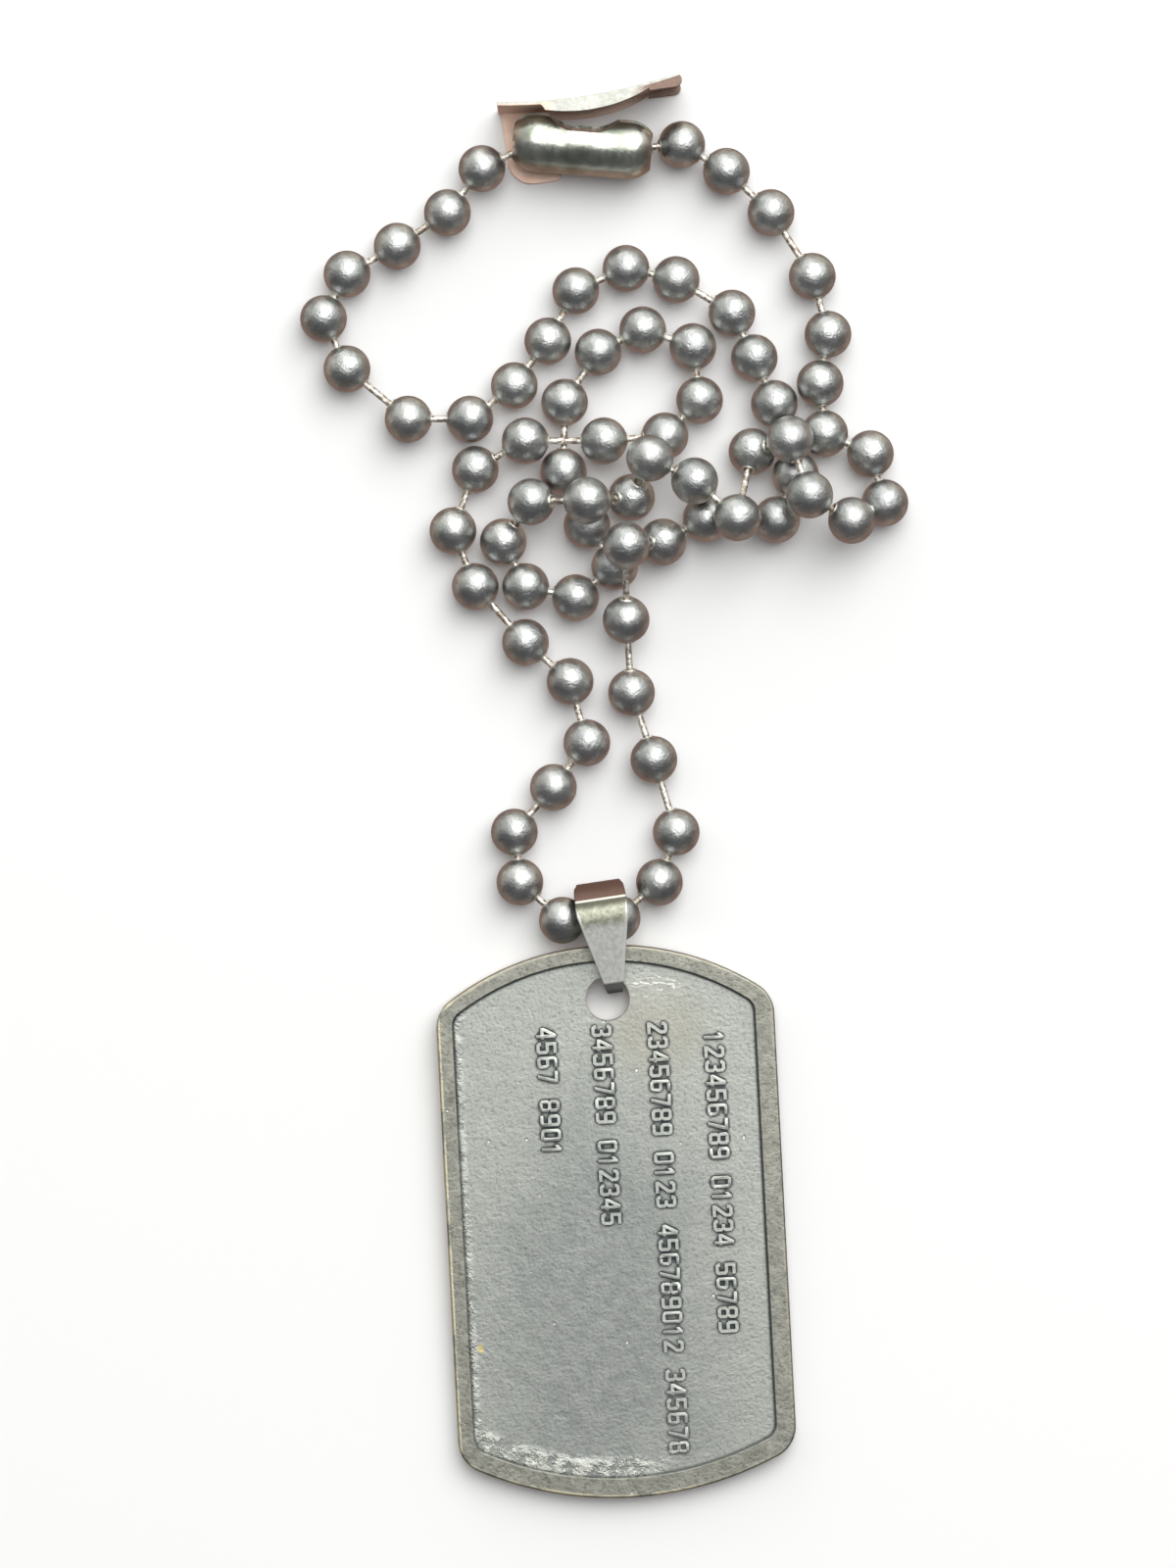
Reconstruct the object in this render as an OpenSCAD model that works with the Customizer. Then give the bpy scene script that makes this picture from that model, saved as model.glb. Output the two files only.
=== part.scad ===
// Identification tag on a ball chain, lying on a flat surface.
// Millimetres, +Z up. +Y runs from the tag to the clasp and the origin lies under the
// middle of the whole necklace.

/* [Tag] */
// Length of the tag from end to end
tag_len = 49.6; // [46:0.1:52]
// Width of the tag
tag_w = 30.3; // [28:0.1:32]
// Thickness of the tag at its rim
tag_t = 2; // [1.6:0.1:2.4]
// Radius of the domed upper end
top_r = 24.5; // [22:0.5:30]
// Radius of the flatter lower end
foot_r = 31; // [26:0.5:36]
// Radius of the four corners
corner_r = 3; // [2:0.25:4]
// Width of the raised rim
rim_w = 1.6; // [1.2:0.1:2]
// Depth of the field inside the rim
field_depth = 0.5; // [0.3:0.1:0.7]
// Diameter of the hanging hole
hole_d = 4; // [3.9:0.1:4.3]
// Middle of the hanging hole below the tag's top end
hole_in = 4.8; // [4.4:0.1:6]
// Turn of the tag as it lies, seen from above
tag_turn = 3; // [0:0.5:5]

/* [Numbers] */
// Height of a digit
digit_h = 1.8; // [1.5:0.1:2.1]
// Width of a digit
digit_w = 1.05; // [0.8:0.05:1.1]
// Distance from one digit to the next
digit_step = 1.3; // [1.25:0.05:1.35]
// Height of the digits above the field
digit_rise = 0.3; // [0.2:0.05:0.4]
// Distance from one row to the next
row_step = 5; // [4:0.1:5.2]
// First row from the middle of the tag
row_first = 9.6; // [9:0.1:10]
// Start of the rows above the middle of the tag
row_top = 17.7; // [16:0.1:17.8]

/* [Bail] */
// Thickness of the bail's strip
strip_t = 0.5; // [0.4:0.05:0.6]
// Width of the strip round the loop
strip_w = 4.6; // [4:0.1:4.7]
// Width of the strip at its two tips
tip_w = 1.4; // [1.2:0.1:1.6]
// Inner radius of the loop that the chain runs through
loop_r = 2.4; // [2.35:0.05:2.5]
// Slope of the front leg
leg_slope = 21; // [19:1:22]
// Inner radius of the bends at the tips
tip_bend_r = 0.25; // [0.2:0.05:0.3]
// Lean of the bail as it lies, seen from above
bail_lean = 8.5; // [7:0.5:9]

/* [Chain] */
// Diameter of a bead
bead_d = 4.2; // [4:0.05:4.25]
// Wall of a hollow bead
bead_wall = 0.3; // [0.2:0.05:0.35]
// Diameter of a link's wire
wire_d = 0.6; // [0.5:0.05:0.7]
// Diameter of the heads at a link's ends
head_d = 1; // [0.95:0.05:1.05]
// Gap between a link's wire and the edge of a bead's hole
wire_gap = 0.12; // [0.1:0.01:0.15]

/* [Clasp] */
// Outer diameter of the barrel
barrel_d = 5.3; // [5.2:0.1:6]
// Length of the barrel
barrel_len = 12.4; // [12:0.1:13]
// Wall of the barrel
barrel_wall = 0.4; // [0.3:0.05:0.4]
// Diameter of the holes in the barrel's ends
end_hole_d = 3.4; // [3.3:0.1:3.6]
// Width of the slot along the barrel
slot_w = 1.8; // [1.4:0.1:2]
// Length of the mouth that a bead goes in by
mouth_len = 6.6; // [5:0.1:7]
// Width of the mouth
mouth_w = 4.35; // [4.3:0.05:4.4]
// Turn of the slot and the mouth about the barrel, up from the surface
mouth_roll = 14; // [8:1:18]
// Turn of the barrel as it lies, seen from above
barrel_turn = -4.5; // [-6:0.5:-3]
// Thickness of the lever's sheet
lever_t = 0.35; // [0.3:0.05:0.4]
// Length of the lever before the pivot
lever_tail = 3; // [2.5:0.1:3.2]
// Length of the lever past the pivot
lever_reach = 13.6; // [12:0.1:14]
// Radius of the lever's long bow
bow_r = 48; // [40:1:60]
// Depth of the lever's sides at the middle
side_depth = 1.3; // [1.1:0.05:1.5]
// Width of the lever's thumb tab
tab_w = 1.25; // [1.1:0.05:1.6]
// Length of the lever's thumb tab
tab_len = 3; // [2.5:0.1:3.5]
// Opening of the lever as it lies
lever_open = 12.5; // [10:0.5:15]
// Diameter of the pivot pip
pip_d = 1; // [0.9:0.1:1.1]

/* [Fits] */
// Gap between pieces that slide on or lie against each other
slide_gap = 0.1; // [0.1:0.01:0.12]

/* [Hidden] */
$fn = 48;
cut = 0.5;

// Colours of the pieces, and shades of bright steel
tag_colour = [0.58, 0.59, 0.56];
bail_shade = 0.74;
bead_shade = 0.7;
link_shade = 0.78;
clasp_shade = 0.76;

bead_r = bead_d / 2;
wire_r = wire_d / 2;
head_r = head_d / 2;
// Middle of a head from the middle of its bead, pulled out against the wall
head_out = bead_r - bead_wall - slide_gap - head_r;

// Tag: the field lies a little off the middle, and so does the hole
corner_x = tag_w / 2 - corner_r;
field_at = [-0.15, 0.2];
hole_at = [0.3, tag_len / 2 - hole_in];
field_z = tag_t - field_depth;
digit_sink = 0.2;
// The tag leans on the bail's back leg and stands on its lower end
tag_lift = strip_t + slide_gap;
tag_tilt = asin(tag_lift / (tag_len - hole_in - hole_d / 2));

// Places on the surface: the middle of the tag, of the bail's loop and of the barrel
tag_at = [1.1, -38.9];
bail_at = [-0.1, -11.3];
barrel_at = [-1.9, 57.4];

// Bail: the front leg leaves the loop and reaches over the edge of the hole
tip_reach = 6.7;
tip_down = 1.45;
tip_up = 0.4;
tip_off = 0.1;
leg_start = loop_r * sin(leg_slope);
front_run = (tip_reach - tip_bend_r * (1 - sin(leg_slope)) - leg_start) / cos(leg_slope);

// Clasp: the lever's sides and ear clear the barrel, and the ear lies on the surface
barrel_r = barrel_d / 2;
bore_r = barrel_r - barrel_wall;
cap_u = barrel_len / 2 - sqrt(pow(barrel_r, 2) - pow(end_hole_d / 2, 2));
side_in = barrel_r + slide_gap;
side_out = side_in + lever_t;
barrel_z = side_out;
bow_low = barrel_r + slide_gap + lever_t;
bow_u = 4.3;
side_u = 5;
side_r = 14;
root_u = 0.3;
root_v = 2.2;
root_round = 0.85;
tab_r = tab_w / 2;
// The tab's round end reaches just past the web, whose curve trims it
tab_past = 0.12;
tab_v = bow_low + bow_r - sqrt(pow(bow_r, 2) - pow(lever_reach - tab_r - bow_u, 2))
    + tab_past - tab_r;
ear_left = 2.75;
ear_right = 1.9;
ear_down = 3.4;
ear_left_round = 2.2;
ear_right_round = 0.6;

// Beads from the clasp's left end round to its right end, as they lie. Each row is the place
// of its middle and its rise: 0 for a bead on the surface, more for one held up by the rest.
chain_route = [
    // Upper left loop and the bow above the heap
    [-10.9, 55.4, 0.4], [-14, 51.5, 0], [-18.5, 48.5, 0], [-23, 46, 0], [-25.1, 42, 0],
    [-23, 37.5, 0], [-17.5, 33, 0], [-12, 33, 0], [-8, 36, 0], [-5, 40, 0],
    [-2.5, 44.5, 0], [2, 46.5, 0], [6.5, 45.5, 0], [11.5, 42.5, 0], [13.5, 38.5, 0],
    [15.3, 34.4, 0],
    // Under the heap to the left
    [17.2, 28, 0], [15.5, 24, 0], [9.2, 24.1, 0], [5.3, 22, 0],
    // Right side of the long loop, down to the bail
    [2, 21.5, 4], [2, 15, 1.2], [2.5, 8.5, 0], [4.5, 2.5, 0], [6.5, -4, 0],
    [5, -8.5, 0], [1.2, -11.7, 0.7],
    // Left side of the long loop, back up
    [-3.7, -11.9, 0.3], [-7.5, -8.5, 0], [-8, -4, 0], [-4.5, 0, 0], [-1.5, 4, 0],
    [-3, 9.5, 0], [-7, 13, 0], [-11.5, 18, 0], [-13.5, 23, 0], [-11.5, 28.5, 0],
    // Inner loop
    [-7, 31, 0.8], [0, 31, 0.8], [5.5, 31.5, 0], [8.6, 34.7, 0], [8, 39.5, 0],
    [3.5, 41, 0], [-0.5, 39, 0], [-3.5, 34.5, 0], [-3.6, 28.3, 0],
    // Small loop under and over the heap
    [-1.5, 23.5, 0], [1, 19.8, 0], [-2.5, 17, 0], [-7, 18, 0], [-9, 22, 0],
    [-6.5, 25.5, 1.8], [-1.5, 25.5, 4], [2.5, 26, 0], [4.1, 29.3, 3.6],
    [8.1, 27.3, 2.9], [11.9, 24, 3.5], [13.3, 30.1, 0], [16.6, 31, 3.2],
    // Right side of the heap and up to the clasp
    [18.3, 26, 3.8], [22.1, 23.8, 2.5], [25.2, 25.5, 0], [23.9, 29.9, 0], [19.8, 31.7, 0],
    [19.4, 36.2, 0], [20.1, 40.6, 0], [18.7, 45.8, 0], [15, 51.5, 0], [11, 55.2, 0],
    [7, 57.6, 0]
];

// The first and the last bead sit inside the barrel's ends
function in_barrel(u) = [
    barrel_at[0] + u * cos(barrel_turn),
    barrel_at[1] + u * sin(barrel_turn),
    barrel_z
];
beads = concat(
    [in_barrel(-cap_u)],
    [for (p = chain_route) [p[0], p[1], bead_r + p[2]]],
    [in_barrel(cap_u)]
);

// Digits as outlines on a cell 3 wide and 5 high: the outer loop first, then its counters
one = [[[1.1, 0], [1.9, 0], [1.9, 5], [1.3, 5], [0.4, 4.1], [0.4, 3.2], [1.1, 3.8]]];
two = [[[0, 0], [3, 0], [3, 0.8], [1.1, 0.8], [3, 3.1], [3, 4.4], [2.4, 5], [0.6, 5],
    [0, 4.4], [0, 3.6], [0.8, 3.6], [0.8, 4], [1, 4.2], [2, 4.2], [2.2, 4], [2.2, 3.4],
    [0, 0.8]]];
three = [[[0.6, 0], [2.4, 0], [3, 0.6], [3, 2.1], [2.6, 2.5], [3, 2.9], [3, 4.4],
    [2.4, 5], [0.6, 5], [0, 4.4], [0, 3.8], [0.8, 3.8], [1, 4.2], [2, 4.2], [2.2, 4],
    [2.2, 3.1], [2, 2.9], [1.2, 2.9], [1.2, 2.1], [2, 2.1], [2.2, 1.9], [2.2, 1],
    [2, 0.8], [1, 0.8], [0.8, 1.2], [0, 1.2], [0, 0.6]]];
four = [[[1.8, 0], [2.6, 0], [2.6, 1.2], [3, 1.2], [3, 2], [2.6, 2], [2.6, 5], [1.7, 5],
    [0, 2], [0, 1.2], [1.8, 1.2]], [[0.9, 2], [1.8, 2], [1.8, 3.6]]];
five = [[[0.6, 0], [2.4, 0], [3, 0.6], [3, 2.5], [2.4, 3.1], [0.8, 3.1], [0.8, 4.2],
    [2.8, 4.2], [2.8, 5], [0, 5], [0, 2.3], [2, 2.3], [2.2, 2.1], [2.2, 1], [2, 0.8],
    [1, 0.8], [0.8, 1.2], [0, 1.2], [0, 0.6]]];
six = [[[0.6, 0], [2.4, 0], [3, 0.6], [3, 2.4], [2.4, 3], [0.8, 3], [0.8, 4], [1, 4.2],
    [2.8, 4.2], [2.8, 5], [0.6, 5], [0, 4.4], [0, 0.6]],
    [[1, 0.8], [2, 0.8], [2.2, 1], [2.2, 2], [2, 2.2], [0.8, 2.2], [0.8, 1]]];
seven = [[[0.9, 0], [1.8, 0], [3, 4.2], [3, 5], [0, 5], [0, 4.2], [2.1, 4.2]]];
eight = [[[0.6, 0], [2.4, 0], [3, 0.6], [3, 2.1], [2.6, 2.5], [3, 2.9], [3, 4.4],
    [2.4, 5], [0.6, 5], [0, 4.4], [0, 2.9], [0.4, 2.5], [0, 2.1], [0, 0.6]],
    [[1, 0.8], [2, 0.8], [2.2, 1], [2.2, 1.9], [2, 2.1], [1, 2.1], [0.8, 1.9], [0.8, 1]],
    [[1, 2.9], [2, 2.9], [2.2, 3.1], [2.2, 4], [2, 4.2], [1, 4.2], [0.8, 4], [0.8, 3.1]]];
nine = [for (loop = six) [for (p = loop) [3 - p[0], 5 - p[1]]]];
zero = [[[0.6, 0], [2.4, 0], [3, 0.6], [3, 4.4], [2.4, 5], [0.6, 5], [0, 4.4], [0, 0.6]],
    [[1, 0.8], [2, 0.8], [2.2, 1], [2.2, 4], [2, 4.2], [1, 4.2], [0.8, 4], [0.8, 1]]];
digits = [zero, one, two, three, four, five, six, seven, eight, nine];
// Lengths of the groups of digits in each row, from the right side of the tag
row_groups = [[9, 5, 5], [8, 4, 9, 6], [7, 6], [4, 4]];
// How far below row_top each row starts
row_drops = [1.1, 0, 0, 0];

module steel(shade) {
    color([shade, shade, shade]) children();
}

// Turns +Z onto the line from a to b, from a
module along(a, b) {
    d = b - a;
    translate(a)
        rotate([0, acos(d[2] / norm(d)), atan2(d[1], d[0])])
            children();
}

// The tag's outline, moved in by inset
module tag_outline(inset = 0) {
    tag_half(inset, top_r);
    mirror([0, 1]) tag_half(inset, foot_r);
}

// One half of the outline, with a domed end of radius r. Each of its two rounded corners meets
// the side and the dome.
module tag_half(inset, r) {
    far = 3 * corner_r;
    width = tag_w - 2 * inset;
    end_y = tag_len / 2 - r;
    corner_y = end_y + sqrt(pow(r - corner_r, 2) - pow(corner_x, 2));
    corner_dir = [corner_x, corner_y - end_y] / (r - corner_r);
    difference() {
        intersection() {
            translate([-width / 2, -corner_r]) square([width, tag_len]);
            translate([0, end_y]) circle(r - inset);
        }
        for (side = [0, 1])
            mirror([side, 0])
                difference() {
                    polygon([
                        [corner_x, corner_y],
                        [corner_x + far, corner_y],
                        [corner_x + far, corner_y + far],
                        [corner_x, corner_y] + far * corner_dir
                    ]);
                    translate([corner_x, corner_y]) circle(corner_r - inset);
                }
    }
}

// One digit, its lower left corner at the origin
module digit(n) {
    size = [digit_w / 3, digit_h / 5];
    loops = [for (loop = digits[n]) [for (p = loop) [p[0] * size[0], p[1] * size[1]]]];
    difference() {
        polygon(loops[0]);
        for (i = [1 : 1 : len(loops) - 1]) polygon(loops[i]);
    }
}

// Digits run down the tag in counting order, with a gap between groups
function before(groups, g) = g == 0 ? 0 : groups[g - 1] + before(groups, g - 1);

module digit_rows() {
    for (row = [0 : len(row_groups) - 1]) {
        groups = row_groups[row];
        for (g = [0 : len(groups) - 1], i = [0 : groups[g] - 1]) {
            place = before(groups, g) + i;
            translate([
                row_first - row * row_step - digit_h / 2,
                row_top - row_drops[row] - (place + g) * digit_step
            ])
                rotate(-90)
                    digit((place + row + 1) % 10);
        }
    }
}

module tag() {
    color(tag_colour)
        translate([tag_at[0], tag_at[1], 0])
            rotate(tag_turn)
                translate([0, -tag_len / 2, 0])
                    rotate([tag_tilt, 0, 0])
                        translate([0, tag_len / 2, 0])
                            tag_flat();
}

module tag_flat() {
    difference() {
        linear_extrude(tag_t) tag_outline();
        translate([field_at[0], field_at[1], field_z])
            linear_extrude(field_depth + cut)
                tag_outline(rim_w);
        translate([hole_at[0], hole_at[1], -cut]) cylinder(d = hole_d, h = tag_t + 2 * cut);
    }
    translate([0, 0, field_z - digit_sink])
        linear_extrude(digit_rise + digit_sink) digit_rows();
}

// A sector of a ring from angle a to angle b, less than half a turn
module ring_sector(r_in, r_out, a, b) {
    far = 2 * r_out;
    intersection() {
        difference() {
            circle(r_out);
            circle(r_in);
        }
        polygon([
            [0, 0],
            far * [cos(a), sin(a)],
            far * [cos((a + b) / 2), sin((a + b) / 2)],
            far * [cos(b), sin(b)]
        ]);
    }
}

// The folded strip seen from its side: distance towards the tag, height
module bail_side() {
    lap = 0.02;
    loop_out = loop_r + strip_t;
    translate([0, loop_out]) {
        // Loop, from the front leg round to the back leg
        ring_sector(loop_r, loop_out, 90 - leg_slope, 180);
        ring_sector(loop_r, loop_out, 180 - leg_slope, 270);
        // Front leg, then its bend and its tip in the hole
        rotate(-leg_slope) {
            translate([-lap, loop_r]) square([front_run + 2 * lap, strip_t]);
            translate([front_run, loop_r - tip_bend_r]) {
                ring_sector(tip_bend_r, tip_bend_r + strip_t, leg_slope, 90);
                rotate(leg_slope)
                    translate([tip_bend_r, lap - tip_down])
                        square([strip_t, tip_down]);
            }
        }
    }
    // Back leg, then its bend and its tip in the hole
    back_run = tip_reach - tip_bend_r;
    translate([-lap, 0]) square([back_run + 2 * lap, strip_t]);
    translate([back_run, strip_t + tip_bend_r]) {
        ring_sector(tip_bend_r, tip_bend_r + strip_t, -90, 0);
        translate([tip_bend_r, -lap]) square([strip_t, tip_up]);
    }
}

module bail() {
    far = loop_r + strip_t + cut;
    end = tip_reach + strip_t;
    steel(bail_shade)
        translate([bail_at[0], bail_at[1], 0])
            rotate(bail_lean - 90)
                intersection() {
                    rotate([90, 0, 0])
                        linear_extrude(strip_w, center = true)
                            bail_side();
                    linear_extrude(2 * far)
                        polygon([
                            [-far, -strip_w / 2],
                            [0, -strip_w / 2],
                            [end, tip_off - tip_w / 2],
                            [end + cut, tip_off - tip_w / 2],
                            [end + cut, tip_off + tip_w / 2],
                            [end, tip_off + tip_w / 2],
                            [0, strip_w / 2],
                            [-far, strip_w / 2]
                        ]);
                }
}

// A hollow bead, drilled towards the beads before and after it. Its sphere is turned so
// that its seam lies between the two holes.
module bead(i) {
    inner_r = bead_r - bead_wall;
    ends = [for (j = [i - 1, i + 1]) if (j >= 0 && j < len(beads)) beads[j] - beads[i]];
    headings = [for (d = ends) atan2(d[1], d[0])];
    seam = len(ends) == 1 ? headings[0] + 90 : (headings[0] + headings[1]) / 2;
    translate(beads[i])
        difference() {
            rotate(seam) sphere(bead_r);
            rotate(seam) sphere(inner_r);
            for (d = ends)
                along([0, 0, 0], d)
                    translate([0, 0, inner_r / 2]) cylinder(r = wire_r + wire_gap, h = bead_r);
        }
}

module chain_beads() {
    steel(bead_shade) for (i = [0 : len(beads) - 1]) bead(i);
}

// A wire with a head at each end, turned as one piece and held in two beads
module link(i) {
    reach = norm(beads[i + 1] - beads[i]);
    along(beads[i], beads[i + 1])
        rotate_extrude()
            intersection() {
                union() {
                    translate([0, head_out]) circle(head_r);
                    translate([0, reach - head_out]) circle(head_r);
                    translate([0, head_out]) square([wire_r, reach - 2 * head_out]);
                }
                square([head_d, reach]);
            }
}

module chain_links() {
    steel(link_shade) for (i = [0 : len(beads) - 2]) link(i);
}

// The barrel's frame: +X along it, +Y out of its mouth, the origin at its middle
module at_barrel() {
    translate([barrel_at[0], barrel_at[1], barrel_z])
        rotate(barrel_turn)
            children();
}

// Half of the barrel's lengthwise section, with +Y along it
module barrel_section() {
    difference() {
        capsule_outline(barrel_r);
        capsule_outline(bore_r);
        translate([-barrel_d, -barrel_len]) square([barrel_d + end_hole_d / 2, 2 * barrel_len]);
    }
}

module capsule_outline(r) {
    translate([-r, -cap_u]) square([2 * r, 2 * cap_u]);
    for (side = [-1, 1]) translate([0, side * cap_u]) circle(r);
}

module clasp_barrel() {
    mouth_u = (mouth_len - mouth_w) / 2;
    steel(clasp_shade)
        at_barrel()
            difference() {
                rotate([0, 90, 0]) rotate(45) rotate_extrude() barrel_section();
                rotate([mouth_roll - 90, 0, 0])
                    linear_extrude(barrel_d) {
                        translate([-barrel_len, -slot_w / 2]) square([2 * barrel_len, slot_w]);
                        for (side = [-1, 1])
                            translate([side * mouth_u, 0]) circle(d = mouth_w);
                        translate([-mouth_u, -mouth_w / 2]) square([2 * mouth_u, mouth_w]);
                    }
                // Hole for the lever's pip
                translate([-cap_u, 0, -barrel_d])
                    cylinder(d = pip_d + 2 * slide_gap, h = barrel_d);
            }
}

// The hollow outer face of the lever's web, seen along the pivot, which is at the origin
module bow(out = 0) {
    translate([bow_u, bow_low + bow_r]) circle(bow_r + out, $fn = 180);
}

// What a piece of the lever may fill up to the rounded end of its thumb tab
module up_to_tab(from) {
    intersection() {
        union() {
            translate([from, 0]) square([lever_reach - tab_r - from, 2 * barrel_d]);
            translate([lever_reach - tab_r, tab_v]) circle(tab_r);
        }
        children();
    }
}

module web_side() {
    up_to_tab(-lever_tail)
        difference() {
            bow(lever_t);
            bow();
        }
}

// A side of the lever: deepest at the middle, with a fuller thumb tab at the end
module lever_side(from) {
    up_to_tab(from)
        difference() {
            union() {
                translate([side_u, bow_low - side_depth + side_r]) circle(side_r, $fn = 120);
                translate([lever_reach - tab_len, tab_v - tab_r]) square([tab_len, tab_w]);
            }
            bow();
        }
}

// The ear that carries the pip, from the web down past the barrel
module ear_side() {
    difference() {
        union() {
            translate([-ear_left, -ear_down + ear_left_round])
                square([ear_left + ear_right, ear_down - ear_left_round + bow_low + lever_t]);
            translate([-ear_left + ear_left_round, -ear_down + ear_right_round])
                square([ear_left + ear_right - ear_left_round, ear_down]);
            translate([-ear_left + ear_left_round, -ear_down])
                square([ear_left + ear_right - ear_left_round - ear_right_round, ear_down]);
            translate([-ear_left + ear_left_round, -ear_down + ear_left_round])
                circle(ear_left_round);
            translate([ear_right - ear_right_round, -ear_down + ear_right_round])
                circle(ear_right_round);
        }
        bow();
    }
}

module clasp_lever() {
    steel(clasp_shade)
        at_barrel()
            translate([-cap_u, 0, 0])
                rotate(lever_open) {
                    translate([0, 0, -side_out]) linear_extrude(2 * side_out) web_side();
                    translate([0, 0, side_in])
                        linear_extrude(lever_t)
                            difference() {
                                lever_side(root_u);
                                translate([root_u, root_v]) circle(root_round);
                            }
                    translate([0, 0, -side_out]) linear_extrude(lever_t) {
                        lever_side(0);
                        ear_side();
                    }
                    translate([0, 0, -side_in - lever_t / 2])
                        cylinder(d = pip_d, h = barrel_wall + slide_gap + lever_t / 2);
                }
}

tag();
bail();
chain_beads();
chain_links();
clasp_barrel();
clasp_lever();
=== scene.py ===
import math

import bmesh
import bpy
from mathutils import Matrix, Vector


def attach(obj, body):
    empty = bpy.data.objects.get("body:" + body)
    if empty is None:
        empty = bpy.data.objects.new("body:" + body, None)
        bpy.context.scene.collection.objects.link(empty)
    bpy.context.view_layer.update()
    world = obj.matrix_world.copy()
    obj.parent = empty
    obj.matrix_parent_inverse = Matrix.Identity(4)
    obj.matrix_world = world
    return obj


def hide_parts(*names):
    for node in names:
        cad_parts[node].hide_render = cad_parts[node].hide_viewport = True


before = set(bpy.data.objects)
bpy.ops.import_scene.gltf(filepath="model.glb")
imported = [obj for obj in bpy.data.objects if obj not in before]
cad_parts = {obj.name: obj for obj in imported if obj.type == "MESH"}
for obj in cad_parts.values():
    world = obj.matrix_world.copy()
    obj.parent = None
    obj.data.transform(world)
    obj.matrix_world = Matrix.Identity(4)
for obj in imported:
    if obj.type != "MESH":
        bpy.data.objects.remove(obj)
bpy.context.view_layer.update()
mm = 0.001

# Camera, straight above the surface that the necklace lies on, as the photo was taken.
# Its frame shows 105.8 by 141.1 mm of the surface, with the necklace near the middle.
frame_height = 141.1 * mm
frame_middle = Vector((-1.4 * mm, 0.3 * mm))
camera_height = 500 * mm
sensor_height = 24
camera = bpy.data.objects.new("camera", bpy.data.cameras.new("camera"))
camera.data.sensor_fit = "VERTICAL"
camera.data.sensor_height = sensor_height
camera.data.lens = sensor_height * camera_height / frame_height
camera.data.clip_start = 10 * mm
camera.location = (frame_middle.x, frame_middle.y, camera_height)
bpy.context.scene.collection.objects.link(camera)
bpy.context.scene.camera = camera


def add_mesh(shape, name):
    """Turns a bmesh into an object of that name, with smooth faces."""
    mesh = bpy.data.meshes.new(name)
    shape.to_mesh(mesh)
    shape.free()
    mesh.polygons.foreach_set("use_smooth", [True] * len(mesh.polygons))
    piece = bpy.data.objects.new(name, mesh)
    bpy.context.scene.collection.objects.link(piece)
    return piece


def new_material(name, **values):
    """A material whose shader's sockets are set by name, with underscores for spaces."""
    material = bpy.data.materials.new(name)
    material.use_nodes = True
    shader = material.node_tree.nodes["Principled BSDF"]
    for socket, value in values.items():
        shader.inputs[socket.replace("_", " ")].default_value = value
    return material, material.node_tree, shader


# Floor, a plain white sheet. The metal doesn't mirror it, but mirrors the warm, dim
# surroundings that the world shows below the horizon, as the photographed metal does.
floor_size = 3.0
floor_white = (0.92, 0.92, 0.92, 1)
shape = bmesh.new()
bmesh.ops.create_grid(shape, x_segments=1, y_segments=1, size=floor_size / 2)
floor = add_mesh(shape, "floor")
material, tree, shader = new_material("white_sheet", Base_Color=floor_white, Roughness=0.9)
shader.inputs["Specular IOR Level"].default_value = 0.1
floor.data.materials.append(material)
floor.visible_glossy = False


# Light, a large soft window above the clasp's side, a low one behind it, and a room that is
# bright on that side and dim on the tag's. Below the horizon lie warm brown surroundings with
# small bright glints, which the metal mirrors.
def add_window(name, way, away, size, watts, tint):
    """An oval soft light that looks at the middle of the necklace."""
    lamp = bpy.data.lights.new(name, "AREA")
    lamp.shape = "ELLIPSE"
    lamp.size = size[0]
    lamp.size_y = size[1]
    lamp.energy = watts
    lamp.color = tint
    window = bpy.data.objects.new(name, lamp)
    window.location = Vector(way).normalized() * away
    window.rotation_euler = Vector(way).to_track_quat("Z", "Y").to_euler()
    bpy.context.scene.collection.objects.link(window)


def add_node(tree, kind, operation=None, **inputs):
    """A shader node. An input is a value or another node's output, by its socket's name."""
    node = tree.nodes.new("ShaderNode" + kind)
    if operation:
        node.operation = operation
    for socket, value in inputs.items():
        key = int(socket[1:]) if socket[1:].isdigit() else socket.replace("_", " ")
        if isinstance(value, bpy.types.NodeSocket):
            tree.links.new(value, node.inputs[key])
        else:
            node.inputs[key].default_value = value
    return node


def math_node(tree, operation, *values):
    """The output of a math node on one to three values or outputs."""
    inputs = {f"i{place}": value for place, value in enumerate(values)}
    return add_node(tree, "Math", operation, **inputs).outputs[0]


def times(tree, first, second):
    """The product of two values or outputs."""
    return math_node(tree, "MULTIPLY", first, second)


def axes_of(tree, place):
    """The three coordinates of a place."""
    return add_node(tree, "SeparateXYZ", i0=place).outputs[:]


def steps_between(tree, value, low, high):
    """0 where the value is below low, 1 above high, and smooth between. low may be above high."""
    node = add_node(tree, "MapRange", Value=value, From_Min=low, From_Max=high)
    node.interpolation_type = "SMOOTHSTEP"
    return node.outputs["Result"]


def blend_tones(tree, share, first, second):
    """The output of a colour mix of two colours or outputs."""
    node = tree.nodes.new("ShaderNodeMix")
    node.data_type = "RGBA"
    for place, value in ((0, share), (6, first), (7, second)):
        if isinstance(value, bpy.types.NodeSocket):
            tree.links.new(value, node.inputs[place])
        elif place:
            node.inputs[place].default_value = (*value, 1)
        else:
            node.inputs[place].default_value = value
    return node.outputs[2]


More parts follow.
